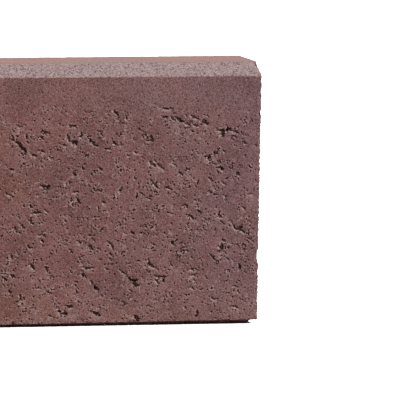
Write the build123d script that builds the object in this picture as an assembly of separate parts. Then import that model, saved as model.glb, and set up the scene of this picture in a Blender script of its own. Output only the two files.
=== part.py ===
"""Garden kerb: one pressed concrete edging stone with a chamfered top edge on its exposed face.

Frame: the origin is the middle of the bed, +X runs along the kerb, -Y is the exposed face and +Z is up.
All sizes are in millimetres.
"""

import os

from build123d import *

# Driving dimensions.
length = 1000.0  # along the run, from butt end to butt end
height = 200.0  # from the bed to the top
thickness = 60.0  # from the exposed face to the back
chamfer_drop = 10.0  # how far the chamfer comes down the exposed face
chamfer_run = 10.0  # how far the chamfer goes in across the top
arris_radius = 1.0  # rounding of every edge as the kerb leaves its mould


def kerb_section():
    """The upright section across the run: a rectangle with its top front corner cut off."""
    front = -thickness / 2
    back = thickness / 2
    corners = [
        (front, 0),
        (back, 0),
        (back, height),
        (front + chamfer_run, height),
        (front, height - chamfer_drop),
    ]
    return Plane.YZ * make_face(Polyline(corners, close=True))


def kerb_stone():
    """The section carried along the run, with plain butt ends and every arris rounded."""
    stone = extrude(kerb_section(), amount=length / 2, both=True)
    return fillet(stone.edges(), radius=arris_radius)


def main():
    os.makedirs("parts", exist_ok=True)
    export_step(kerb_stone(), "parts/kerb.step")


if __name__ == "__main__":
    main()
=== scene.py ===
"""Dresses the garden kerb: one stone of pressed concrete, torn by its mould and worn at its arrises.

The stone is modelled as a block, chamfered and rounded, then remeshed finely enough to carry its torn pits.
Everything is in metres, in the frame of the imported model: +X along the kerb, -Y the exposed face, +Z up.
"""

import math
import random

import bpy
import numpy
from mathutils import Matrix, Vector
from mathutils.kdtree import KDTree


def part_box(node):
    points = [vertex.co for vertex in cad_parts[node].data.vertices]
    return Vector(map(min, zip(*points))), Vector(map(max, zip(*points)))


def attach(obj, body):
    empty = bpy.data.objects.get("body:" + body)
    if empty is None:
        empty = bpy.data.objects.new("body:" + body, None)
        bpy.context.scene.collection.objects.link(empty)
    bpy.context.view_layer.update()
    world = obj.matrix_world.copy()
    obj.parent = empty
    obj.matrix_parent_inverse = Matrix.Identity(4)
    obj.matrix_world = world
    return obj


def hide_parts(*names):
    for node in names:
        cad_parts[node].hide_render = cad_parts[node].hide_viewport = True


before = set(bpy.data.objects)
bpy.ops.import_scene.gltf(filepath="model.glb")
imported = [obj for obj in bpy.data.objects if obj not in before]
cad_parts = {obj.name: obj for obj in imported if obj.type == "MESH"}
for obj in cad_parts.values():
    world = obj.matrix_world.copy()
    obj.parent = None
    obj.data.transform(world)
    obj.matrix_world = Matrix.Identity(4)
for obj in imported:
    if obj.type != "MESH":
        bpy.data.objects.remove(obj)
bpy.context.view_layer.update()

MM = 0.001

# The stone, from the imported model, with the edges that its section has.
STONE_LOW, STONE_HIGH = (Vector(corner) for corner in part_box("kerb"))
STONE_SIZE = STONE_HIGH - STONE_LOW
MIDDLE = (STONE_LOW + STONE_HIGH) / 2
FRONT = STONE_LOW.y
BACK = STONE_HIGH.y
TOP = STONE_HIGH.z
RIGHT_END = STONE_HIGH.x
LEFT_END = STONE_LOW.x
CHAMFER = 10 * MM
ARRIS_RADIUS = 1 * MM
ARRIS_SEGMENTS = 2

# The mesh: even quads, divided again at the arrises and round the pits, then thinned to a piece's limit.
VOXEL = 1.6 * MM
ARRIS_REACH = 3.5 * MM
ARRIS_CUTS = 1
PIT_CUTS = 2
MOST_TRIANGLES = 190_000
SMOOTH_ANGLE = math.radians(35)

# The camera: a long lens to the left of the right end, a little above the kerb.
IMAGE_SIZE = 400
SENSOR = 36.0
LENS = 947.2
VIEW_DISTANCE = 8.0
VIEW_YAW = math.radians(16.5)
VIEW_PITCH = math.radians(6.2)
VIEW_ROLL = math.radians(1.06)
VIEW_AIM = Vector((RIGHT_END - 47.8 * MM, FRONT, STONE_LOW.z + 95.5 * MM))
VIEW_END = 100

# The lamps: where the light of each comes from, how strong it is and how many degrees across it looks.
# The world's light is how strongly its white lights the stone.
KEY_LAMP = ((0.52, -0.5, 0.69), 1.2, 8)
RIM_LAMP = ((-0.35, 0.85, 0.4), 0.65, 20)
WORLD_LIGHT = 0.18

# The floor: how wide it is, what it gives back to the stone, and the white that the camera sees.
FLOOR_WIDTH = 160
FLOOR_DULL = (0.3, 0.3, 0.3, 1)
FLOOR_WHITE = (1.6, 1.6, 1.6, 1)

# The foot is worn: the bed's margin is clear of the floor, by less in the middle of the run than at the ends.
# The margin's inner edge fades between two widths and wavers to either side.
FOOT_WEAR = (1.8 * MM, 2.8 * MM)
FOOT_WEAR_RUN = 220 * MM
FOOT_WEAR_FADE = 12 * MM
BED_MARGIN = (4.5 * MM, 6.5 * MM)
BED_WAVER = 2 * MM
BED_WAVE = 12 * MM

# The arrises crumble in bites, which are deeper down the sides than near the top.
ARRIS_BITE = 4.2 * MM
ARRIS_WEAR = (2.6 * MM, 0.35 * MM)

# Chips out of the arrises of the right end: where each is, how far it reaches and how deep it goes.
CHIPS = (
    (Vector((RIGHT_END, FRONT + 9 * MM, TOP - 1 * MM)), 7 * MM, 2.2 * MM),
    (Vector((RIGHT_END, FRONT + 4.5 * MM, TOP - 5.5 * MM)), 3 * MM, 1.2 * MM),
    (Vector((RIGHT_END, FRONT, STONE_LOW.z + 52 * MM)), 7 * MM, 1.3 * MM),
    (Vector((RIGHT_END, BACK, STONE_LOW.z + 155 * MM)), 9 * MM, 2.4 * MM),
)

# How far the skin lies inside the block that it is cut from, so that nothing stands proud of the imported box.
SKIN_INSET = 0.2 * MM

# Torn pits on the exposed face, each a short line of points in pixels of the 400 x 400 picture.
DEEP_TEARS = (
    ((16.5, 142.5), (20, 144.5), (23.5, 148), (27, 152)),
    ((177, 118.5), (180.5, 119.5), (184, 121.5)),
    ((217.5, 130.3), (222.5, 131), (226, 129.8), (230.5, 129.7), (233, 131), (237.5, 133)),
    ((223, 131), (222, 136)),
    ((202, 123.5), (205.5, 121.3), (208, 124.8)),
    ((205.5, 157), (209, 156), (208.5, 160)),
    ((217, 169.5), (219, 167), (222, 167), (222.5, 171)),
    ((233.5, 226), (236, 228.5), (239, 228.8), (241.5, 226.5)),
    ((239, 228.5), (243, 231), (245, 233.5)),
    ((129.5, 278), (133, 281.5), (135, 284.5), (139, 285.5)),
    ((132, 281), (138, 280.5)),
    ((94.5, 285), (96, 288), (98.5, 290)),
    ((82, 274), (84, 275), (86, 277.5)),
    ((157, 276.5), (161, 277), (164.5, 277), (164, 281)),
    ((67, 305.5), (70, 307.2), (72.5, 305.8)),
    ((59.5, 311.5), (62.5, 314.5), (66, 314.5), (65, 311.5)),
    ((42, 185.5), (45, 187), (48.5, 186.5), (47.5, 184)),
    ((113.5, 141), (117, 145)),
    ((72, 141.8), (75, 142.8), (77.5, 142.8)),
    ((92, 310.5), (96, 313.5), (101, 315.2)),
    ((172.5, 241), (174.5, 244.5)),
    ((222, 244), (220.8, 250)),
)
PITS = (
    ((143.5, 136.5), (146.5, 134.3)),
    ((151, 135), (153, 138.5)),
    ((146.5, 140.3), (149.8, 141), (154, 139.8)),
    ((89, 138), (93.5, 142.5), (97.5, 146.5)),
    ((149.5, 161.5), (154.5, 165)),
    ((99, 167.5), (103, 171.5)),
    ((189.5, 270), (193, 269), (198.5, 270)),
    ((197.5, 310.5), (198.5, 315)),
    ((222, 239), (225.5, 241.5)),
    ((107.5, 241), (111.5, 244), (113.5, 250)),
    ((37, 234), (39.5, 235.5), (42, 234)),
    ((41, 239), (43.5, 243)),
    ((8.5, 291), (11.8, 293)),
    ((19.5, 295), (23.5, 297.5)),
    ((20, 299.3), (24, 300.5)),
    ((148.5, 260), (150.5, 264), (153.5, 267), (156, 267)),
    ((93, 217.5), (100, 217)),
    ((77, 240.5), (80, 243), (84, 242), (83, 244.5)),
    ((121.5, 187), (119.5, 191.5)),
    ((140.5, 192.5), (144, 194.5)),
    ((150.5, 180.3), (154.5, 184), (158, 187.8)),
    ((179.3, 172.3), (183.5, 176)),
    ((185.5, 166.3), (190, 169.8)),
    ((171, 116.5), (174, 120), (176, 120.5)),
    ((160.5, 115), (163.5, 117.3), (167.5, 117)),
    ((163.5, 108.5), (167, 109.3), (170.5, 108)),
    ((114.5, 110.8), (117, 113.5), (119.5, 118)),
    ((185.5, 123.5), (189, 124), (192, 122)),
    ((192.5, 124), (196.5, 126.5), (199, 125.8)),
    ((68, 125.5), (73, 125.5), (77, 126.7)),
    ((69, 134), (67.5, 137.5), (69, 141)),
    ((81, 132.5), (82, 136), (82, 139.5)),
    ((31.5, 153.8), (34, 155.5), (37, 155.8)),
    ((40.5, 151.5), (44.5, 152)),
    ((49.8, 156.5), (53, 158.5)),
    ((43.5, 131.5), (49.5, 133.3)),
    ((9, 168.5), (14, 170.3)),
    ((217.5, 160.5), (221.5, 162)),
    ((236, 172), (239.5, 175)),
    ((170, 164), (173, 163.5), (176.5, 166.3)),
    ((166, 187.5), (172.5, 189.6)),
    ((181.5, 207), (186, 205), (187.5, 207.5)),
    ((199, 211.5), (202, 213)),
    ((187, 215), (191, 216.5), (193.5, 219.3)),
    ((218.5, 214), (221.5, 218)),
    ((220.5, 221.5), (224.5, 224.5)),
    ((30, 205), (33.5, 208.3)),
    ((32.5, 214), (35, 212), (40.5, 213)),
    ((20, 224.5), (22, 225.5), (24.5, 228.3)),
    ((73, 192.5), (78.5, 191.5)),
    ((68.5, 201.5), (73.5, 200)),
    ((77, 198), (80, 202.5)),
    ((28.5, 246.3), (32, 248.2)),
    ((70, 249), (72.5, 252.5)),
    ((31, 264.5), (34, 269.5)),
    ((44.5, 266), (47.5, 267.5), (47.3, 272)),
    ((11.5, 275), (14.5, 276.8)),
    ((4.5, 278), (6.5, 281)),
    ((153.5, 244.5), (156.5, 245.3)),
    ((238, 264), (240, 267.5), (239, 270)),
    ((209.5, 254), (213.5, 256), (214.5, 259.5)),
    ((133, 317.5), (137, 317.5), (140, 321)),
    ((105.5, 268.5), (108.5, 269.5)),
    ((156, 280.5), (159, 283.5)),
    ((90, 244.5), (92.5, 249.5)),
    ((83, 167), (86, 171)),
    ((73, 172.5), (76, 175)),
    ((130.5, 231.5), (133, 232.5), (134, 234.5)),
)
NICKS = (
    ((17, 126), (22, 127)),
    ((26, 134), (28, 138.5)),
    ((28, 141.5), (29, 143.5)),
    ((9, 143), (10, 144)),
    ((12, 146.5), (13, 148)),
    ((38.5, 137.5), (42.5, 136.5)),
    ((45, 143.5), (48, 142.2)),
    ((56.5, 148.5), (58.5, 150)),
    ((63, 144.5), (66, 145.8)),
    ((84, 132.5), (88, 135)),
    ((106.5, 111.5), (108, 113.5)),
    ((138.5, 129), (142, 131)),
    ((120, 142), (121.5, 145.5), (124, 145.5)),
    ((134.5, 140), (135.5, 141)),
    ((154.5, 160), (158.5, 164.5), (164, 170.5)),
    ((134, 153), (138.5, 152.5)),
    ((128, 156), (131, 156.5)),
    ((107, 148.5), (111, 149.5)),
    ((184.5, 127), (187.5, 128)),
    ((190.5, 115.2), (194.5, 117), (198.5, 119)),
    ((190.5, 129.8), (194, 131.5)),
    ((202, 131), (205.5, 131.5)),
    ((230.8, 137), (233, 140)),
    ((234.5, 144.5), (236, 146)),
    ((243.5, 142), (246.5, 144)),
    ((251, 118.5), (253, 123)),
    ((255, 145), (256.3, 147)),
    ((222.5, 150), (226, 153)),
    ((214, 151), (214.8, 155.5)),
    ((234, 176), (235.5, 176.5)),
    ((190.5, 175), (192, 176)),
    ((221.5, 181), (226, 185)),
    ((209, 178.5), (212, 180.5)),
    ((197, 198), (201, 202)),
    ((212.5, 194), (217, 195)),
    ((225.8, 196), (226.3, 198.5), (225.3, 201)),
    ((246, 196.5), (252.5, 194)),
    ((242, 206), (246, 209)),
    ((173.5, 204.5), (173.3, 208)),
    ((167, 212.8), (173.5, 213.8)),
    ((216.5, 206.5), (216, 208.5)),
    ((251, 211), (252.5, 211.5)),
    ((164, 232.5), (165.5, 234)),
    ((179.5, 245.5), (182, 241.5)),
    ((186.5, 246), (188.5, 247.5)),
    ((134, 177), (136, 179.5)),
    ((147.5, 197.5), (151.5, 200)),
    ((102, 201.5), (106, 203.5)),
    ((98.5, 205), (99.5, 211.5)),
    ((38.5, 182.5), (41, 179.5)),
    ((6, 193.8), (10.5, 196)),
    ((36, 195.3), (38.8, 194.7)),
    ((45, 209.5), (48.5, 213)),
    ((30, 221), (33, 224.5)),
    ((16.5, 227.5), (15, 229), (16, 231.5)),
    ((19.5, 232.5), (21.5, 234)),
    ((41, 222.5), (43.5, 223)),
    ((88, 235.5), (91.5, 236)),
    ((92.5, 239), (95, 241.5)),
    ((66, 245), (67.5, 246)),
    ((15.5, 258), (18, 258.8)),
    ((11, 255), (12, 258.5)),
    ((48, 277.2), (52.5, 276.3), (53.5, 277.5)),
    ((31.5, 300.5), (33.5, 302.5)),
    ((36, 288), (40.5, 288.2)),
    ((75.5, 290), (78, 294)),
    ((57, 307.5), (59.5, 308.5)),
    ((48.5, 315), (54, 318.5)),
    ((82.5, 267.5), (89, 268.5), (94.5, 267.5)),
    ((128, 299.3), (131.5, 297.5)),
    ((97.8, 306.8), (99.2, 309.2)),
    ((145.5, 305.5), (150, 306), (151.5, 308.5)),
    ((155.5, 298.5), (157, 300.5)),
    ((124.5, 232.5), (127, 234)),
    ((140, 233.5), (142.5, 232.5)),
    ((124.5, 245), (129, 247)),
    ((137, 260.5), (140.5, 261.5)),
    ((170.5, 264), (173, 266.5)),
    ((122, 302), (127, 304)),
    ((184, 252), (188.5, 251.5)),
    ((190.5, 256.5), (192.5, 258)),
    ((225, 256), (228.5, 259.5)),
    ((191.5, 275.5), (196, 273.5)),
    ((193.5, 279.5), (197, 283.5)),
    ((226, 270.2), (230, 270)),
    ((187.5, 288), (191, 287), (194, 290)),
    ((232.5, 286.5), (236, 286), (239.5, 289.5)),
    ((211.5, 297), (214, 299.5), (218.5, 298.5)),
    ((230, 306.5), (236, 307), (239, 309)),
    ((243, 249), (245, 250.5)),
    ((9.5, 138.5), (14, 141)),
    ((118.5, 269.8), (122.5, 272), (126.5, 275.5)),
    ((184, 306), (186.5, 308)),
    ((98.2, 308.2), (100.8, 308.5)),
    ((100.5, 295), (103, 297)),
    ((91, 280), (92, 284.5)),
    ((219.5, 163.5), (221, 160.5)),
    ((237.5, 289.5), (238.5, 293)),
    ((108.5, 273), (110.5, 274)),
    ((134.5, 300.5), (137, 302)),
    ((229, 219), (232, 223.5)),
)

# How wide and deep each kind of pit is, half its width first.
TEAR_SIZE = (1.8 * MM, 3.0 * MM)
PIT_SIZE = (1.4 * MM, 2.2 * MM)
NICK_SIZE = (1.05 * MM, 1.5 * MM)
PIT_KINDS = ((DEEP_TEARS, TEAR_SIZE), (PITS, PIT_SIZE), (NICKS, NICK_SIZE))

# How many half widths off its line a pit may break, how much of its size it keeps at its ends,
# and between what shares of its kind's width and depth it varies.
PIT_SPREAD = 1.7
PIT_ENDS = 0.65
PIT_SWELL = (0.75, 1.2)
PIT_SINK = (0.7, 1.2)

# The tears were dragged open from their upper right, which is steep. Their lower left is a crumbled slope.
# A pit is stretched towards its lower left and narrowed towards its upper right.
TEAR_DRAG = Vector((0.6 * MM, 0, 0.8 * MM))
DRAG_STRETCH = (1.35, 0.75)

# The pits of the stone's other faces are strewn as thickly as those of the stretch that the picture shows.
# They lie between a floor and a ceiling, a few more of them low down. A strewn line has a few steps, each of
# so many half widths, and turns a little at each.
SEEN_LENGTH = 212 * MM
PIT_FLOOR = 4 * MM
PIT_CEILING = 168 * MM
PIT_HEIGHTS = (1.1, 1.25)
STREWN_SEED = 7
STREWN_STEPS = (1, 2, 2, 3)
STREWN_STEP = (1.0, 2.2)
STREWN_TURN = 0.6

# The relief's patterns: the waves that push the pits' lines about and how far, the grains that a pit breaks
# out by, the lumps of its floor, and the scuffs of the skin round it with their depth.
LINE_WAVE = 4 * MM
LINE_PUSH = 2.4 * MM
BREAK_GRAIN = 1.9 * MM
FLOOR_LUMP = 3 * MM
SCUFF_SIZE = 1.5 * MM
SCUFF_DEPTH = 0.5 * MM

# How deep a pit is where the material takes it as wholly torn.
TORN_DEPTH = 1.3 * MM

# The concrete's colours, with the tint of its torn faces and how far sand changes red, green and blue.
PASTE_BROWN = "#7d5851"
PASTE_MAUVE = "#7b5e60"
END_GREY = "#9a7d7d"
TOP_SALMON = "#9d776f"
TOP_GREY = "#927a76"
TOP_SIDES = "#877772"
# The chamfer's paler, greyer colour is partly its pressed finish and partly a painted sheen of the key light.
CHAMFER_PALE_AND_SHEEN = "#968281"
# The pale of loose crumbs, which is also painted on the lips of pits and on the lower left of holes where they
# face the light, as a painted highlight.
PALE_CRUMB_AND_HIGHLIGHT = "#c8b0aa"
# Painted shade: the near black put into the holes and the floors of deep pits, where shadow falls.
HOLE_SHADE_PAINT = "#330603"
TORN_TINT = (1.045, 0.97, 0.965, 1)
SAND_TINT = (0.72, 1, 1)

# The sizes of the concrete's patterns. The grains that drop out are drawn large enough to show singly.
CLOUD = 30 * MM
STREAK = 7 * MM
STREAK_SQUEEZE = (0.06, 1, 1)
FRAY_WAVE = 2 * MM
FRAY = 0.6 * MM
SAND = 0.55 * MM
PATCH = 9 * MM
GRAIN = 1.1 * MM
RAG = 1 * MM
RAG_PUSH = 0.8 * MM
CRUMB = 1 * MM
GRIT = 0.8 * MM
BUMP = 0.7 * MM

# The zones of the stone, each from where it begins to where it is full.
MAUVE_RUN = (RIGHT_END - 220 * MM, RIGHT_END - 20 * MM)  # along the run, the mauve paste
END_ZONE = (RIGHT_END - 1.0 * MM, RIGHT_END - 0.3 * MM)  # along the run, the smooth ends
TOP_ZONE = (TOP - 1.6 * MM, TOP - 1.0 * MM)  # upwards, the salmon top
TOP_SIDE_ZONE = (15 * MM, 23 * MM)  # from the middle of the top, its greyer edges
TORN_ZONE = (TOP - 24 * MM, TOP - 40 * MM)  # downwards, the torn faces
RED_ZONE = (8 * MM, 40 * MM)  # upwards from the bed, the redder part of the torn faces
BROWN_FOOT = (40 * MM, 5 * MM)  # down to the bed, the browner paste
PALE_FOOT = (45 * MM, 15 * MM)  # down to the bed, the paler paste
CRUMBLED_FOOT = (4 * MM, 2 * MM)  # down to the bed, the crumbled foot
ARRIS_ZONE = (3 * MM, 0.4 * MM)  # up to an arris, its crumbling
ARRIS_CALM = (TOP - 24 * MM, TOP - 8 * MM)  # upwards, the calmer part of the arrises
ARRIS_FOOT = (4 * MM, 10 * MM)  # upwards from the bed, the full wear of the arrises
ARRIS_HOLES = (2.2 * MM, 1.0 * MM)  # up to the arris over the chamfer, its lost grains

# The chamfer's two edges, and how far to either side of each its paler, greyer colour fades.
CHAMFER_LOW = TOP - CHAMFER
CHAMFER_HIGH = FRONT + CHAMFER
LOW_FADE = 0.3 * MM
HIGH_FADE = (0.5 * MM, 0.1 * MM)

# The kinds of node that are used most.
MATH = "ShaderNodeMath"
VECTOR_MATH = "ShaderNodeVectorMath"
MAP_RANGE = "ShaderNodeMapRange"
NOISE = "ShaderNodeTexNoise"
CELLS = "ShaderNodeTexVoronoi"
MIX = "ShaderNodeMix"
PROXIMITY = "GeometryNodeProximity"


def linear(hex_colour):
    """An sRGB hex colour as the linear RGBA that the shaders take."""
    channels = [int(hex_colour[at:at + 2], 16) / 255 for at in (1, 3, 5)]
    return [c / 12.92 if c <= 0.04045 else ((c + 0.055) / 1.055) ** 2.4 for c in channels] + [1.0]


def add(tree, kind, inputs=None, **settings):
    """Adds a node, sets its settings, and links or sets its inputs by name or place."""
    node = tree.nodes.new(kind)
    for name, value in settings.items():
        setattr(node, name, value)
    for socket, value in (inputs or {}).items():
        if isinstance(value, bpy.types.NodeSocket):
            tree.links.new(value, node.inputs[socket])
        else:
            node.inputs[socket].default_value = value
    return node


def view_axes():
    """The camera's right, up and forward directions."""
    forward = Vector((
        math.sin(VIEW_YAW) * math.cos(VIEW_PITCH),
        math.cos(VIEW_YAW) * math.cos(VIEW_PITCH),
        -math.sin(VIEW_PITCH),
    ))
    level = Vector((math.cos(VIEW_YAW), -math.sin(VIEW_YAW), 0))
    upright = level.cross(forward)
    right = math.cos(VIEW_ROLL) * level + math.sin(VIEW_ROLL) * upright
    up = math.cos(VIEW_ROLL) * upright - math.sin(VIEW_ROLL) * level
    return right, up, forward


def face_point(pixel):
    """Where a pixel of the picture falls on the exposed face."""
    right, up, forward = view_axes()
    across = (pixel[0] / IMAGE_SIZE - 0.5) * SENSOR
    above = (0.5 - pixel[1] / IMAGE_SIZE) * SENSOR
    ray = forward * LENS + right * across + up * above
    eye = VIEW_AIM - forward * VIEW_DISTANCE
    return eye + ray * ((FRONT - eye.y) / ray.y)


def strewn_tear(rng, centre, size):
    """A wandering line of points from a centre, on the plane of X and Z."""
    heading = rng.uniform(0, math.tau)
    step = size[0] * rng.uniform(*STREWN_STEP)
    place = centre.copy()
    points = [place.copy()]
    for _ in range(rng.choice(STREWN_STEPS)):
        heading += rng.gauss(0, STREWN_TURN)
        place += Vector((math.cos(heading), 0, math.sin(heading))) * step
        points.append(place.copy())
    return points


def all_pits():
    """Every pit as its points and its size: those seen, then those strewn over the rest of the stone."""
    pits = []
    for lines, size in PIT_KINDS:
        for line in lines:
            pits.append(([face_point(pixel) for pixel in line], size))
    rng = random.Random(STREWN_SEED)
    for face, start, end in ((FRONT, LEFT_END, RIGHT_END - SEEN_LENGTH), (BACK, LEFT_END, RIGHT_END)):
        share = (end - start) / SEEN_LENGTH
        for lines, size in PIT_KINDS:
            for _ in range(round(len(lines) * share)):
                height = PIT_FLOOR + (PIT_CEILING - PIT_FLOOR) * rng.betavariate(*PIT_HEIGHTS)
                centre = Vector((rng.uniform(start, end), face, height))
                pits.append((strewn_tear(rng, centre, size), size))
    return pits


def pit_lines():
    """A mesh of the pits' lines, finely divided, with how wide and deep the pit is at each point."""
    points, edges, widths, depths = [], [], [], []
    rng = random.Random(STREWN_SEED + 1)
    for line, (half_width, depth) in all_pits():
        swell = rng.uniform(*PIT_SWELL)
        sink = rng.uniform(*PIT_SINK)
        spans = list(zip(line, line[1:]))
        total = sum((b - a).length for a, b in spans)
        walked = 0.0
        first = len(points)
        for start, end in spans:
            cuts = max(1, round((end - start).length / MM))
            for cut in range(cuts):
                share = cut / cuts
                points.append(start.lerp(end, share))
                reach = (walked + (end - start).length * share) / total
                taper = PIT_ENDS + (1 - PIT_ENDS) * math.sin(math.pi * reach)
                widths.append(half_width * swell * taper)
                depths.append(depth * sink * taper)
            walked += (end - start).length
        points.append(line[-1])
        widths.append(half_width * swell * PIT_ENDS)
        depths.append(depth * sink * PIT_ENDS)
        edges += [(at, at + 1) for at in range(first, len(points) - 1)]
    mesh = bpy.data.meshes.new("pit_lines")
    mesh.from_pydata(points, edges, [])
    for name, values in (("half_width", widths), ("depth", depths)):
        mesh.attributes.new(name, "FLOAT", "POINT").data.foreach_set("value", values)
    lines = bpy.data.objects.new("pit_lines", mesh)
    bpy.context.collection.objects.link(lines)
    return lines


def pushed_place(tree, place):
    """The place as noise pushes it about, so that no pit that is looked up from it is straight."""
    push = add(tree, NOISE, {"Vector": place, "Scale": 1 / LINE_WAVE, "Detail": 3.0}).outputs["Color"]
    push = add(tree, VECTOR_MATH, {0: push, 1: (0.5, 0.5, 0.5)}, operation="SUBTRACT").outputs[0]
    return add(
        tree, VECTOR_MATH, {0: push, 1: [LINE_PUSH] * 3, 2: place}, operation="MULTIPLY_ADD",
    ).outputs[0]


def torn_pits(tree, place, pushed, skeleton):
    """How deep the pits are, where the slope at a pit's lower left is, which faces the light and which the
    material paints pale as a highlight, and how near a place is to a pit.
    """
    nearest = add(
        tree, PROXIMITY, {0: skeleton, "Sample Position": pushed}, target_element="EDGES",
    ).outputs["Distance"]
    point = add(tree, "GeometryNodeSampleNearest", {0: skeleton, "Sample Position": pushed}).outputs[0]
    measure = {}
    for name in ("half_width", "depth"):
        stored = add(tree, "GeometryNodeInputNamedAttribute", {"Name": name}).outputs[0]
        measure[name] = add(
            tree, "GeometryNodeSampleIndex", {"Geometry": skeleton, "Value": stored, "Index": point},
        ).outputs[0]
    away = add(tree, MATH, {0: nearest, 1: measure["half_width"]}, operation="DIVIDE").outputs[0]

    # Which side of its line a place is on shows when it is moved along the drag: from -1 at the lower left
    # to 1 at the upper right.
    dragged = add(tree, VECTOR_MATH, {0: pushed, 1: TEAR_DRAG}, operation="ADD").outputs[0]
    further = add(
        tree, PROXIMITY, {0: skeleton, "Sample Position": dragged}, target_element="EDGES",
    ).outputs["Distance"]
    side = add(tree, MATH, {0: further, 1: nearest}, operation="SUBTRACT").outputs[0]
    side = add(tree, MATH, {0: side, 1: TEAR_DRAG.length}, operation="DIVIDE").outputs[0]
    stretch = add(
        tree, MAP_RANGE, {0: side, 1: -1.0, 2: 1.0, 3: DRAG_STRETCH[0], 4: DRAG_STRETCH[1]},
    ).outputs[0]
    away = add(tree, MATH, {0: away, 1: stretch}, operation="DIVIDE").outputs[0]
    lower = add(tree, MAP_RANGE, {0: side, 1: 0.3, 2: -0.4}).outputs[0]
    slope = add(tree, MAP_RANGE, {0: away, 1: 0.0, 2: PIT_SPREAD, 3: 0.0, 4: 0.85}).outputs[0]
    slope = add(tree, MATH, {0: slope, 1: lower}, operation="MULTIPLY").outputs[0]
    slope = add(tree, MATH, {0: 1.0, 1: slope}, operation="SUBTRACT").outputs[0]

    # A pit breaks out grain by grain: nearly all along its line, and less and less off it.
    grains = add(tree, NOISE, {"Vector": place, "Scale": 1 / BREAK_GRAIN, "Detail": 2.0}).outputs[0]
    held = add(tree, MAP_RANGE, {0: away, 1: 0.0, 2: PIT_SPREAD, 3: 0.27, 4: 0.74}).outputs[0]
    loose = add(tree, MATH, {0: grains, 1: held}, operation="SUBTRACT").outputs[0]
    broken = add(
        tree, MAP_RANGE, {0: loose, 1: 0.0, 2: 0.12}, interpolation_type="SMOOTHSTEP",
    ).outputs[0]
    lumps = add(tree, NOISE, {"Vector": place, "Scale": 1 / FLOOR_LUMP, "Detail": 1.0}).outputs[0]
    lumps = add(tree, MAP_RANGE, {0: lumps, 1: 0.3, 2: 0.7, 3: 0.5, 4: 1.25}).outputs[0]
    pit = add(tree, MATH, {0: broken, 1: measure["depth"]}, operation="MULTIPLY").outputs[0]
    pit = add(tree, MATH, {0: pit, 1: lumps}, operation="MULTIPLY").outputs[0]
    pit = add(tree, MATH, {0: pit, 1: slope}, operation="MULTIPLY").outputs[0]

    # The lower left lips face the key light; the material paints them pale, partly as paler broken paste and
    # partly as a painted highlight.
    lip = add(tree, MAP_RANGE, {0: away, 1: 1.6, 2: 0.9}).outputs[0]
    inner = add(tree, MAP_RANGE, {0: away, 1: 0.2, 2: 0.6}).outputs[0]
    lip = add(tree, MATH, {0: lip, 1: inner}, operation="MULTIPLY").outputs[0]
    lip = add(tree, MATH, {0: lip, 1: lower}, operation="MULTIPLY").outputs[0]
    ring = add(tree, MAP_RANGE, {0: away, 1: PIT_SPREAD, 2: 0.8}).outputs[0]
    return pit, lip, ring


def scuffed_skin(tree, place, ring):
    """How deep the uneven skin round the pits is scuffed."""
    scuffs = add(tree, NOISE, {"Vector": place, "Scale": 1 / SCUFF_SIZE, "Detail": 1.0}).outputs[0]
    scuffs = add(tree, MAP_RANGE, {0: scuffs, 1: 0.35, 2: 0.7, 3: 0.0, 4: SCUFF_DEPTH}).outputs[0]
    return add(tree, MATH, {0: ring, 1: scuffs}, operation="MULTIPLY").outputs[0]


def depths_in_box(tree, place):
    """How far a place is inside the stone's box along X, Y and Z."""
    from_middle = add(tree, VECTOR_MATH, {0: place, 1: MIDDLE}, operation="SUBTRACT").outputs[0]
    from_middle = add(tree, VECTOR_MATH, {0: from_middle}, operation="ABSOLUTE").outputs[0]
    depths = add(tree, VECTOR_MATH, {0: STONE_SIZE / 2, 1: from_middle}, operation="SUBTRACT").outputs[0]
    return add(tree, "ShaderNodeSeparateXYZ", {0: depths}).outputs


def crumbled_arrises(tree, place, pushed, depths, shallow, height):
    """How deep the arrises are crumbled and chipped."""
    # How far a place is from the nearest arris is the second of its three depths in the box.
    deep = add(tree, MATH, {0: depths[0], 1: depths[1]}, operation="MAXIMUM").outputs[0]
    from_edge = add(tree, MATH, {0: shallow, 1: depths[2]}, operation="MAXIMUM").outputs[0]
    from_edge = add(tree, MATH, {0: from_edge, 1: deep}, operation="MINIMUM").outputs[0]
    at_edge = add(tree, MAP_RANGE, {0: from_edge, 1: ARRIS_ZONE[0], 2: ARRIS_ZONE[1]}).outputs[0]
    wear = add(
        tree, MAP_RANGE,
        {0: height, 1: ARRIS_CALM[0], 2: ARRIS_CALM[1], 3: ARRIS_WEAR[0], 4: ARRIS_WEAR[1]},
    ).outputs[0]
    foot = add(
        tree, MAP_RANGE, {0: height, 1: ARRIS_FOOT[0], 2: ARRIS_FOOT[1], 3: 0.35, 4: 1.0},
    ).outputs[0]
    wear = add(tree, MATH, {0: wear, 1: foot}, operation="MULTIPLY").outputs[0]
    bites = add(
        tree, NOISE, {"Vector": place, "Scale": 1 / ARRIS_BITE, "Detail": 3.0, "Roughness": 0.7},
    ).outputs[0]
    bites = add(tree, MAP_RANGE, {0: bites, 1: 0.45, 2: 0.72}).outputs[0]
    chip = add(tree, MATH, {0: bites, 1: at_edge}, operation="MULTIPLY").outputs[0]
    chip = add(tree, MATH, {0: chip, 1: wear}, operation="MULTIPLY").outputs[0]
    for centre, reach, depth in CHIPS:
        off = add(tree, VECTOR_MATH, {0: pushed, 1: centre}, operation="DISTANCE").outputs["Value"]
        gouge = add(tree, MAP_RANGE, {0: off, 1: reach, 2: reach / 3, 3: 0.0, 4: depth}).outputs[0]
        chip = add(tree, MATH, {0: chip, 1: gouge}, operation="MAXIMUM").outputs[0]
    return chip


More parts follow.
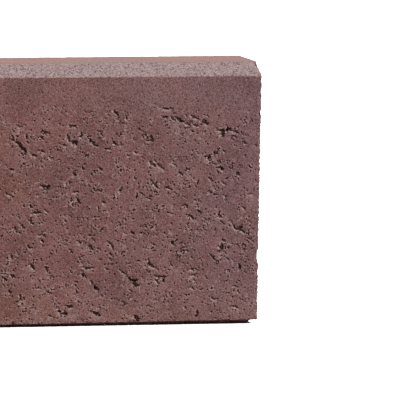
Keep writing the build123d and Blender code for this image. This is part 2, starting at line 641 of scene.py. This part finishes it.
def worn_bed(tree, place, depths, shallow, height):
    """How far up the bed's margin is worn clear of the floor, with the foot of each side, as an offset."""
    waver = add(tree, NOISE, {"Vector": place, "Scale": 1 / BED_WAVE, "Detail": 2.0}).outputs[0]
    waver = add(tree, MAP_RANGE, {0: waver, 1: 0.0, 2: 1.0, 3: -BED_WAVER, 4: BED_WAVER}).outputs[0]
    margin = add(tree, MATH, {0: shallow, 1: waver}, operation="ADD").outputs[0]
    on_margin = add(tree, MAP_RANGE, {0: margin, 1: BED_MARGIN[1], 2: BED_MARGIN[0]}).outputs[0]
    worn = add(
        tree, MAP_RANGE, {0: depths[0], 1: FOOT_WEAR_RUN, 2: 0.0, 3: FOOT_WEAR[0], 4: FOOT_WEAR[1]},
    ).outputs[0]
    low = add(tree, MAP_RANGE, {0: height, 1: FOOT_WEAR_FADE, 2: 0.0}).outputs[0]
    lift = add(tree, MATH, {0: worn, 1: low}, operation="MULTIPLY").outputs[0]
    lift = add(tree, MATH, {0: lift, 1: on_margin}, operation="MULTIPLY").outputs[0]
    return add(tree, "ShaderNodeCombineXYZ", {2: lift}).outputs[0]


def relief_nodes(lines):
    """The stone's relief: torn pits along the lines, crumbled arrises and a worn bed, all cut inwards."""
    tree = bpy.data.node_groups.new("kerb_relief", "GeometryNodeTree")
    for direction in ("INPUT", "OUTPUT"):
        tree.interface.new_socket("Stone", in_out=direction, socket_type="NodeSocketGeometry")
    stone = add(tree, "NodeGroupInput").outputs[0]
    place = add(tree, "GeometryNodeInputPosition").outputs[0]
    facing = add(tree, "GeometryNodeInputNormal").outputs[0]
    height = add(tree, "ShaderNodeSeparateXYZ", {0: place}).outputs[2]
    skeleton = add(tree, "GeometryNodeObjectInfo", {"Object": lines}).outputs["Geometry"]
    pushed = pushed_place(tree, place)
    depths = depths_in_box(tree, place)
    shallow = add(tree, MATH, {0: depths[0], 1: depths[1]}, operation="MINIMUM").outputs[0]
    pit, lip, ring = torn_pits(tree, place, pushed, skeleton)
    scuff = scuffed_skin(tree, place, ring)
    chip = crumbled_arrises(tree, place, pushed, depths, shallow, height)

    # The deepest of the cuts is taken, square to the skin.
    cut = add(tree, MATH, {0: pit, 1: scuff}, operation="MAXIMUM").outputs[0]
    cut = add(tree, MATH, {0: cut, 1: chip}, operation="MAXIMUM").outputs[0]
    cut = add(tree, MATH, {0: cut, 1: SKIN_INSET}, operation="ADD").outputs[0]
    inwards = add(tree, VECTOR_MATH, {0: facing, "Scale": -1.0}, operation="SCALE").outputs[0]
    shift = add(tree, VECTOR_MATH, {0: inwards, "Scale": cut}, operation="SCALE").outputs[0]
    rise = worn_bed(tree, place, depths, shallow, height)
    shift = add(tree, VECTOR_MATH, {0: shift, 1: rise}, operation="ADD").outputs[0]
    moved = add(tree, "GeometryNodeSetPosition", {"Geometry": stone, "Offset": shift}).outputs[0]

    # What the material reads: how torn a place is, which sets the painted shade on the floors of deep pits;
    # the pits' lower left lips, which face the light and are painted pale, partly as a highlight; and what is
    # scuffed or near the floor.
    torn = add(tree, MAP_RANGE, {0: pit, 1: 0.0, 2: TORN_DEPTH}).outputs[0]
    crumbled = add(
        tree, MAP_RANGE, {0: height, 1: CRUMBLED_FOOT[0], 2: CRUMBLED_FOOT[1], 3: 0.0, 4: 0.9},
    ).outputs[0]
    crumbled = add(tree, MATH, {0: crumbled, 1: ring}, operation="MAXIMUM").outputs[0]
    for name, value in (("torn", torn), ("lip", lip), ("scuffed", crumbled)):
        moved = add(
            tree, "GeometryNodeStoreNamedAttribute", {"Geometry": moved, "Name": name, "Value": value},
            data_type="FLOAT", domain="POINT",
        ).outputs[0]
    add(tree, "NodeGroupOutput", {0: moved})
    return tree


def deselect(kind):
    """Leaves nothing of the mesh selected, with faces or edges as what is selected next."""
    bpy.ops.object.mode_set(mode="EDIT")
    bpy.ops.mesh.select_mode(type=kind)
    bpy.ops.mesh.select_all(action="DESELECT")
    bpy.ops.object.mode_set(mode="OBJECT")


def divide_faces(stone, chosen, cuts):
    """Divides the chosen faces again in edit mode."""
    stone.data.polygons.foreach_set("select", chosen)
    bpy.ops.object.mode_set(mode="EDIT")
    bpy.ops.mesh.subdivide(number_cuts=cuts)
    bpy.ops.mesh.select_all(action="DESELECT")
    bpy.ops.object.mode_set(mode="OBJECT")


def face_centres(stone):
    """The middle of each face of the stone, one to a row."""
    centres = numpy.empty(len(stone.data.polygons) * 3)
    stone.data.polygons.foreach_get("center", centres)
    return centres.reshape(-1, 3)


def square_arrises(stone):
    """Puts each point back on the plane it is nearest to, because the remesh rounds the arrises off."""
    places = numpy.empty(len(stone.data.vertices) * 3)
    stone.data.vertices.foreach_get("co", places)
    places = places.reshape(-1, 3)
    planes = [(Vector((0, -1, 1)).normalized(), Vector((0, FRONT, CHAMFER_LOW)))]
    for axis in numpy.eye(3):
        planes += [(Vector(-axis), STONE_LOW), (Vector(axis), STONE_HIGH)]
    under = numpy.array([(numpy.array(point) - places) @ numpy.array(normal) for normal, point in planes])
    nearest = under.argmin(axis=0)
    normals = numpy.array([normal for normal, point in planes])
    places += normals[nearest] * under.min(axis=0)[:, None]
    stone.data.vertices.foreach_set("co", places.ravel())


def refine(stone, lines):
    """Divides the mesh again along the arrises and round the pits, where the relief needs it."""
    deselect("FACE")
    tree = KDTree(len(lines.data.vertices))
    for vertex in lines.data.vertices:
        tree.insert(vertex.co, vertex.index)
    tree.balance()
    reach = [PIT_SPREAD * width.value + VOXEL / 2 for width in lines.data.attributes["half_width"].data]

    def near_pit():
        """Whether each face is as near to a line as that line's pit may break."""
        found = [tree.find(centre) for centre in face_centres(stone)]
        return numpy.array([distance < reach[index] for _, index, distance in found])

    off_middle = abs(face_centres(stone) - numpy.array(MIDDLE))
    depths = numpy.sort(numpy.array(STONE_SIZE) / 2 - off_middle, axis=1)
    divide_faces(stone, (depths[:, 1] < ARRIS_REACH) & ~near_pit(), ARRIS_CUTS)
    divide_faces(stone, near_pit(), PIT_CUTS)


def chamfered_block():
    """The stone as it leaves its mould: a block with a chamfered top front edge and rounded arrises."""
    bpy.ops.object.select_all(action="DESELECT")
    bpy.ops.mesh.primitive_cube_add(size=1, location=MIDDLE, scale=STONE_SIZE)
    stone = bpy.context.object
    stone.name = "kerb_stone"
    stone.data.name = "kerb_stone"
    bpy.ops.object.transform_apply(location=True, rotation=True, scale=True)
    deselect("EDGE")
    for edge in stone.data.edges:
        ends = [stone.data.vertices[index].co for index in edge.vertices]
        edge.select = all(end.y < FRONT + MM and end.z > TOP - MM for end in ends)
    bpy.ops.object.mode_set(mode="EDIT")
    bpy.ops.mesh.bevel(offset=CHAMFER, segments=1, affect="EDGES")
    bpy.ops.mesh.select_all(action="SELECT")
    bpy.ops.mesh.bevel(offset=ARRIS_RADIUS, segments=ARRIS_SEGMENTS, affect="EDGES")
    bpy.ops.object.mode_set(mode="OBJECT")
    return stone


def kerb_stone():
    """The worn stone: the block remeshed, torn and crumbled, thinned, and shaded smooth."""
    stone = chamfered_block()
    remesh = stone.modifiers.new("fine", "REMESH")
    remesh.mode = "VOXEL"
    remesh.voxel_size = VOXEL
    bpy.ops.object.modifier_apply(modifier=remesh.name)

    lines = pit_lines()
    refine(stone, lines)
    square_arrises(stone)
    relief = stone.modifiers.new("relief", "NODES")
    relief.node_group = relief_nodes(lines)
    bpy.ops.object.modifier_apply(modifier=relief.name)
    bpy.data.objects.remove(lines)

    thin = stone.modifiers.new("thin", "DECIMATE")
    triangles = sum(len(face.vertices) - 2 for face in stone.data.polygons)
    thin.ratio = min(1.0, MOST_TRIANGLES / triangles)
    bpy.ops.object.modifier_apply(modifier=thin.name)
    bpy.ops.object.shade_smooth_by_angle(angle=SMOOTH_ANGLE)
    even = stone.modifiers.new("even", "WEIGHTED_NORMAL")
    even.keep_sharp = True
    bpy.ops.object.modifier_apply(modifier=even.name)
    return stone


def mottled_paste(tree, place, axis, along):
    """The paste: pigment in clouds, mauve near the ends of the run, browner elsewhere, paler at the foot."""
    clouds = add(tree, NOISE, {"Vector": place, "Scale": 1 / CLOUD, "Detail": 4.0}).outputs
    mauve = add(
        tree, MAP_RANGE, {0: along, 1: MAUVE_RUN[0], 2: MAUVE_RUN[1], 3: -0.3, 4: 0.45},
    ).outputs[0]
    mauve = add(tree, MATH, {0: clouds[0], 1: mauve}, operation="ADD").outputs[0]
    foot = add(
        tree, MAP_RANGE, {0: axis[2], 1: BROWN_FOOT[0], 2: BROWN_FOOT[1], 3: 0.0, 4: 0.3},
    ).outputs[0]
    mauve = add(tree, MATH, {0: mauve, 1: foot}, operation="SUBTRACT", use_clamp=True).outputs[0]
    colour = add(
        tree, MIX, {0: mauve, 6: linear(PASTE_BROWN), 7: linear(PASTE_MAUVE)}, data_type="RGBA",
    ).outputs[2]
    depth = add(tree, "ShaderNodeSeparateColor", {0: clouds["Color"]}).outputs[1]
    depth = add(tree, MAP_RANGE, {0: depth, 1: 0.3, 2: 0.7, 3: 0.85, 4: 1.17}).outputs[0]
    paler = add(
        tree, MAP_RANGE, {0: axis[2], 1: PALE_FOOT[0], 2: PALE_FOOT[1], 3: 1.0, 4: 1.13},
    ).outputs[0]
    depth = add(tree, MATH, {0: depth, 1: paler}, operation="MULTIPLY").outputs[0]
    return add(tree, VECTOR_MATH, {0: colour, "Scale": depth}, operation="SCALE").outputs[0]


def face_shares(tree, place, axis, along):
    """How far a place belongs to an end, the top, the chamfer and the torn faces, each from 0 to 1."""
    on_end = add(tree, MAP_RANGE, {0: along, 1: END_ZONE[0], 2: END_ZONE[1]}).outputs[0]
    on_top = add(tree, MAP_RANGE, {0: axis[2], 1: TOP_ZONE[0], 2: TOP_ZONE[1]}).outputs[0]

    # The chamfer's lower edge wanders by about half a millimetre.
    fray = add(tree, NOISE, {"Vector": place, "Scale": 1 / FRAY_WAVE, "Detail": 3.0}).outputs[0]
    fray = add(tree, MAP_RANGE, {0: fray, 1: 0.2, 2: 0.8, 3: -FRAY, 4: FRAY}).outputs[0]
    above = add(tree, MATH, {0: axis[2], 1: fray}, operation="ADD").outputs[0]
    chamfer = add(
        tree, MAP_RANGE, {0: above, 1: CHAMFER_LOW - LOW_FADE, 2: CHAMFER_LOW + LOW_FADE},
    ).outputs[0]
    before = add(
        tree, MAP_RANGE, {0: axis[1], 1: CHAMFER_HIGH + HIGH_FADE[0], 2: CHAMFER_HIGH - HIGH_FADE[1]},
    ).outputs[0]
    chamfer = add(tree, MATH, {0: chamfer, 1: before}, operation="MULTIPLY").outputs[0]
    chamfer = add(tree, MATH, {0: chamfer, 1: on_end}, operation="SUBTRACT", use_clamp=True).outputs[0]

    below = add(tree, MAP_RANGE, {0: axis[2], 1: TORN_ZONE[0], 2: TORN_ZONE[1]}).outputs[0]
    open_face = add(tree, MATH, {0: below, 1: on_end}, operation="SUBTRACT", use_clamp=True).outputs[0]
    return on_end, on_top, chamfer, open_face


def pressed_faces(tree, place, axis, colour, on_end, on_top, on_chamfer):
    """The colour with its smooth faces: paler, greyer ends, a streaked salmon top, and a paler, greyer
    chamfer, partly its pressed finish and partly a painted sheen of the light.
    """
    paler = add(tree, MATH, {0: on_end, 1: 0.8}, operation="MULTIPLY").outputs[0]
    colour = add(tree, MIX, {0: paler, 6: colour, 7: linear(END_GREY)}, data_type="RGBA").outputs[2]

    # The top's salmon is drawn out in streaks along the kerb, and greyer at its two edges.
    stretched = add(tree, "ShaderNodeMapping", {"Vector": place, "Scale": STREAK_SQUEEZE}).outputs[0]
    streaks = add(tree, NOISE, {"Vector": stretched, "Scale": 1 / STREAK, "Detail": 2.0}).outputs[0]
    salmon = add(
        tree, MIX, {0: streaks, 6: linear(TOP_SALMON), 7: linear(TOP_GREY)}, data_type="RGBA",
    ).outputs[2]
    off_middle = add(tree, MATH, {0: axis[1], 1: CHAMFER / 2}, operation="SUBTRACT").outputs[0]
    off_middle = add(tree, MATH, {0: off_middle}, operation="ABSOLUTE").outputs[0]
    at_side = add(
        tree, MAP_RANGE, {0: off_middle, 1: TOP_SIDE_ZONE[0], 2: TOP_SIDE_ZONE[1], 3: 0.0, 4: 0.8},
    ).outputs[0]
    salmon = add(tree, MIX, {0: at_side, 6: salmon, 7: linear(TOP_SIDES)}, data_type="RGBA").outputs[2]
    colour = add(tree, MIX, {0: on_top, 6: colour, 7: salmon}, data_type="RGBA").outputs[2]
    # The chamfer is painted paler and greyer: partly its pressed finish, partly a painted sheen.
    return add(
        tree, MIX, {0: on_chamfer, 6: colour, 7: linear(CHAMFER_PALE_AND_SHEEN)}, data_type="RGBA",
    ).outputs[2]


def sanded(tree, place, axis, colour, smooth, on_chamfer, open_face):
    """The colour with its sand, softer in tone on the smooth faces, and redder on the torn ones."""
    # The pigment's red shows through all the grains, so it changes less from grain to grain.
    spread = add(tree, MAP_RANGE, {0: smooth, 3: 0.66, 4: 0.36}).outputs[0]
    calm = add(tree, MAP_RANGE, {0: on_chamfer, 3: 1.0, 4: 0.85}).outputs[0]
    spread = add(tree, MATH, {0: spread, 1: calm}, operation="MULTIPLY").outputs[0]
    sand = add(tree, CELLS, {"Vector": place, "Scale": 1 / SAND}).outputs["Color"]
    grain = add(tree, "ShaderNodeSeparateColor", {0: sand}).outputs
    tone = add(tree, MAP_RANGE, {0: grain[0], 3: -1.0, 4: 1.0}).outputs[0]
    tone = add(tree, MATH, {0: tone, 1: spread}, operation="MULTIPLY").outputs[0]
    speckle = add(tree, VECTOR_MATH, {0: SAND_TINT, "Scale": tone}, operation="SCALE").outputs[0]
    colour = add(
        tree, VECTOR_MATH, {0: colour, 1: speckle, 2: colour}, operation="MULTIPLY_ADD",
    ).outputs[0]

    # The torn faces turn browner again at the foot.
    above_foot = add(tree, MAP_RANGE, {0: axis[2], 1: RED_ZONE[0], 2: RED_ZONE[1]}).outputs[0]
    redness = add(tree, MATH, {0: open_face, 1: above_foot}, operation="MULTIPLY").outputs[0]
    redder = add(tree, MIX, {0: redness, 6: (1, 1, 1, 1), 7: TORN_TINT}, data_type="RGBA").outputs[2]
    return add(tree, VECTOR_MATH, {0: colour, 1: redder}, operation="MULTIPLY").outputs[0]


def crumbly_places(tree, place, axis, open_face):
    """How crumbly the stone is: in patches of its torn faces, about the pits, and over the chamfer."""
    scuffed = add(tree, "ShaderNodeAttribute", attribute_name="scuffed").outputs["Fac"]
    patches = add(tree, NOISE, {"Vector": place, "Scale": 1 / PATCH, "Detail": 2.0}).outputs[0]
    crumbly = add(tree, MAP_RANGE, {0: patches, 1: 0.5, 2: 0.68}).outputs[0]
    crumbly = add(tree, MATH, {0: crumbly, 1: scuffed}, operation="MAXIMUM").outputs[0]
    crumbly = add(tree, MATH, {0: crumbly, 1: open_face}, operation="MULTIPLY").outputs[0]
    over_edge = add(tree, MATH, {0: axis[1], 1: CHAMFER_HIGH}, operation="SUBTRACT").outputs[0]
    over_edge = add(tree, MATH, {0: over_edge}, operation="ABSOLUTE").outputs[0]
    over_edge = add(tree, MATH, {0: over_edge, 1: axis[2]}, operation="SUBTRACT").outputs[0]
    at_arris = add(
        tree, MAP_RANGE, {0: over_edge, 1: ARRIS_HOLES[0] - TOP, 2: ARRIS_HOLES[1] - TOP, 4: 0.5},
    ).outputs[0]
    return add(tree, MATH, {0: crumbly, 1: at_arris}, operation="MAXIMUM").outputs[0]


def lost_grains(tree, place, share):
    """Where grains of GRAIN have dropped out, as 1 or 0, when the given share of them has."""
    cells = add(tree, CELLS, {"Vector": place, "Scale": 1 / GRAIN}).outputs["Color"]
    pick = add(tree, "ShaderNodeSeparateColor", {0: cells}).outputs[1]
    return add(tree, MATH, {0: pick, 1: share}, operation="LESS_THAN").outputs[0]


def holes_and_sides(tree, place, crumbly, on_top, on_chamfer, open_face):
    """The holes of lost grains, many where it is crumbly, and the side at each one's lower left, which faces
    the light and is painted pale as a highlight.
    """
    rare = add(tree, MAP_RANGE, {0: on_top, 3: 0.028, 4: 0.0}).outputs[0]
    rare = add(tree, MATH, {0: on_chamfer, 1: 0.06, 2: rare}, operation="MULTIPLY_ADD").outputs[0]
    rare = add(tree, MATH, {0: open_face, 1: -0.006, 2: rare}, operation="MULTIPLY_ADD").outputs[0]
    share = add(tree, MATH, {0: crumbly, 1: 0.18, 2: rare}, operation="MULTIPLY_ADD").outputs[0]
    ragged = add(tree, NOISE, {"Vector": place, "Scale": 1 / RAG, "Detail": 1.0}).outputs["Color"]
    ragged = add(tree, VECTOR_MATH, {0: ragged, "Scale": RAG_PUSH}, operation="SCALE").outputs[0]
    ragged = add(tree, VECTOR_MATH, {0: place, 1: ragged}, operation="ADD").outputs[0]
    # The holes moved towards the upper right mark the lower left of each hole, which faces the light and is
    # painted pale as a highlight.
    dragged = add(tree, VECTOR_MATH, {0: ragged, 1: TEAR_DRAG}, operation="ADD").outputs[0]
    holes = lost_grains(tree, ragged, share)
    painted_lit_sides = lost_grains(tree, dragged, share)
    painted_lit_sides = add(tree, MATH, {0: painted_lit_sides, 1: holes}, operation="SUBTRACT", use_clamp=True).outputs[0]
    return holes, painted_lit_sides


def broken_colour(tree, place, colour, crumbly, holes, painted_lit_sides, open_face):
    """The colour with its pale crumbs, the lips of pits and the lower left side of holes painted pale as
    highlights where they face the light, and holes and floors of deep pits painted near black as shade.
    """
    torn = add(tree, "ShaderNodeAttribute", attribute_name="torn").outputs["Fac"]
    lip = add(tree, "ShaderNodeAttribute", attribute_name="lip").outputs["Fac"]
    crumbs = add(tree, CELLS, {"Vector": place, "Scale": 1 / CRUMB}).outputs["Color"]
    crumbs = add(tree, "ShaderNodeSeparateColor", {0: crumbs}).outputs[0]
    crumb = add(tree, MAP_RANGE, {0: crumbs, 1: 0.78, 2: 0.84, 3: 0.0, 4: 0.6}).outputs[0]
    crumb = add(tree, MATH, {0: crumb, 1: crumbly}, operation="MULTIPLY").outputs[0]
    # The lips of pits are painted pale: partly paler broken paste, partly a painted highlight where they face
    # the light.
    rim = add(tree, MAP_RANGE, {0: crumbs, 1: 0.1, 2: 0.6, 3: 0.15, 4: 0.8}).outputs[0]
    rim = add(tree, MATH, {0: rim, 1: lip}, operation="MULTIPLY").outputs[0]
    # The lower left of each hole is painted pale as a highlight, more on the open faces.
    pale = add(tree, MAP_RANGE, {0: open_face, 3: 0.15, 4: 0.34}).outputs[0]
    pale = add(tree, MATH, {0: painted_lit_sides, 1: pale}, operation="MULTIPLY").outputs[0]
    pale = add(tree, MATH, {0: pale, 1: crumb}, operation="MAXIMUM").outputs[0]
    pale = add(tree, MATH, {0: pale, 1: rim}, operation="MAXIMUM").outputs[0]
    colour = add(tree, MIX, {0: pale, 6: colour, 7: linear(PALE_CRUMB_AND_HIGHLIGHT)}, data_type="RGBA").outputs[2]

    # The floor of a deep pit is painted near black as shade, but for a few crumbs that lie on it; the holes of
    # lost grains are painted so too.
    deep = add(tree, MAP_RANGE, {0: torn, 1: 0.2, 2: 0.34, 3: 0.0, 4: 0.96}).outputs[0]
    bare = add(tree, MAP_RANGE, {0: crumbs, 1: 0.7, 2: 0.85, 3: 1.0, 4: 0.55}).outputs[0]
    deep = add(tree, MATH, {0: deep, 1: bare}, operation="MULTIPLY").outputs[0]
    gloom = add(tree, MAP_RANGE, {0: open_face, 3: 0.45, 4: 0.94}).outputs[0]
    # Holes are painted near black as shade, less off the open faces.
    shade_paint = add(tree, MATH, {0: holes, 1: gloom}, operation="MULTIPLY").outputs[0]
    shade_paint = add(tree, MATH, {0: shade_paint, 1: deep}, operation="MAXIMUM").outputs[0]
    return add(tree, MIX, {0: shade_paint, 6: colour, 7: linear(HOLE_SHADE_PAINT)}, data_type="RGBA").outputs[2]


def grit_bump(tree, place, crumbly, smooth, holes):
    """The bump: fine grit, rougher where the stone is crumbly, and the walls of the holes."""
    grit = add(tree, NOISE, {"Vector": place, "Scale": 1 / GRIT, "Detail": 2.0}).outputs[0]
    rough = add(tree, MAP_RANGE, {0: crumbly, 3: 0.2, 4: 1.0}).outputs[0]
    soft = add(tree, MAP_RANGE, {0: smooth, 3: 1.0, 4: 0.4}).outputs[0]
    rough = add(tree, MATH, {0: rough, 1: soft}, operation="MULTIPLY").outputs[0]
    relief = add(tree, MATH, {0: grit, 1: rough}, operation="MULTIPLY").outputs[0]
    walls = add(tree, MATH, {0: holes, 1: 0.7}, operation="MULTIPLY").outputs[0]
    relief = add(tree, MATH, {0: relief, 1: walls}, operation="SUBTRACT").outputs[0]
    return add(tree, "ShaderNodeBump", {"Strength": 1.0, "Distance": BUMP, "Height": relief}).outputs[0]


def pressed_concrete():
    """Concrete coloured with iron oxide: sandy, matt, mottled brown to mauve, paler where it was pressed, with
    a painted sheen on the chamfer, painted highlights where pits and holes face the light, and painted shade
    in them.
    """
    material = bpy.data.materials.new("pressed_concrete")
    material.use_nodes = True
    tree = material.node_tree
    tree.nodes.clear()
    place = add(tree, "ShaderNodeTexCoord").outputs["Object"]
    axis = add(tree, "ShaderNodeSeparateXYZ", {0: place}).outputs
    along = add(tree, MATH, {0: axis[0]}, operation="ABSOLUTE").outputs[0]
    on_end, on_top, on_chamfer, open_face = face_shares(tree, place, axis, along)
    smooth = add(tree, MATH, {0: on_top, 1: on_end}, operation="MAXIMUM").outputs[0]
    crumbly = crumbly_places(tree, place, axis, open_face)
    holes, painted_lit_sides = holes_and_sides(tree, place, crumbly, on_top, on_chamfer, open_face)

    colour = mottled_paste(tree, place, axis, along)
    colour = pressed_faces(tree, place, axis, colour, on_end, on_top, on_chamfer)
    colour = sanded(tree, place, axis, colour, smooth, on_chamfer, open_face)
    colour = broken_colour(tree, place, colour, crumbly, holes, painted_lit_sides, open_face)
    bump = grit_bump(tree, place, crumbly, smooth, holes)
    shader = add(
        tree, "ShaderNodeBsdfPrincipled",
        {"Base Color": colour, "Roughness": 0.92, "Specular IOR Level": 0.03, "Normal": bump},
    )
    add(tree, "ShaderNodeOutputMaterial", {0: shader.outputs[0]})
    return material


def seen_directly(tree):
    """1 for what the camera sees, straight or by a reflection or through glass, and 0 for other light."""
    path = add(tree, "ShaderNodeLightPath").outputs
    seen = path["Is Camera Ray"]
    for other in ("Is Glossy Ray", "Is Transmission Ray"):
        seen = add(tree, MATH, {0: seen, 1: path[other]}, operation="MAXIMUM").outputs[0]
    return seen


def floor():
    """A plain pale floor, white to the camera, that keeps the stone's shadow."""
    bpy.ops.object.select_all(action="DESELECT")
    bpy.ops.mesh.primitive_plane_add(size=FLOOR_WIDTH, location=(0, 0, STONE_LOW.z))
    plane = bpy.context.object
    plane.name = "floor"
    material = bpy.data.materials.new("floor_paper")
    material.use_nodes = True
    tree = material.node_tree
    tree.nodes.clear()
    dull = add(tree, "ShaderNodeBsdfDiffuse", {"Color": FLOOR_DULL}).outputs[0]
    white = add(tree, "ShaderNodeBsdfDiffuse", {"Color": FLOOR_WHITE}).outputs[0]
    mixed = add(tree, "ShaderNodeMixShader", {0: seen_directly(tree), 1: dull, 2: white}).outputs[0]
    add(tree, "ShaderNodeOutputMaterial", {0: mixed})
    plane.data.materials.append(material)


def lamp(name, towards, strength, angle):
    """A far lamp whose light comes from the given direction."""
    data = bpy.data.lights.new(name, "SUN")
    data.energy = strength * math.pi
    data.angle = math.radians(angle)
    holder = bpy.data.objects.new(name, data)
    holder.rotation_euler = Vector(towards).to_track_quat("Z", "Y").to_euler()
    bpy.context.collection.objects.link(holder)


def lights():
    """A key from the upper right, a weaker light from behind, and an even white world."""
    lamp("key", *KEY_LAMP)
    lamp("rim", *RIM_LAMP)
    world = bpy.data.worlds.new("studio")
    bpy.context.scene.world = world
    world.use_nodes = True
    tree = world.node_tree
    tree.nodes.clear()
    strength = add(tree, MAP_RANGE, {0: seen_directly(tree), 3: WORLD_LIGHT, 4: 1.0}).outputs[0]
    sky = add(tree, "ShaderNodeBackground", {"Color": (1, 1, 1, 1), "Strength": strength}).outputs[0]
    add(tree, "ShaderNodeOutputWorld", {0: sky})


def camera():
    """The picture's viewpoint."""
    right, up, forward = view_axes()
    data = bpy.data.cameras.new("camera")
    data.lens = LENS
    data.sensor_width = SENSOR
    data.clip_end = VIEW_END
    holder = bpy.data.objects.new("camera", data)
    turn = Matrix((right, up, -forward)).transposed().to_4x4()
    holder.matrix_world = Matrix.Translation(VIEW_AIM - forward * VIEW_DISTANCE) @ turn
    bpy.context.collection.objects.link(holder)
    bpy.context.scene.camera = holder


stone = kerb_stone()
stone.data.materials.append(pressed_concrete())
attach(stone, "root")
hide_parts("kerb")
floor()
lights()
camera()
bpy.context.scene.view_settings.view_transform = "Standard"
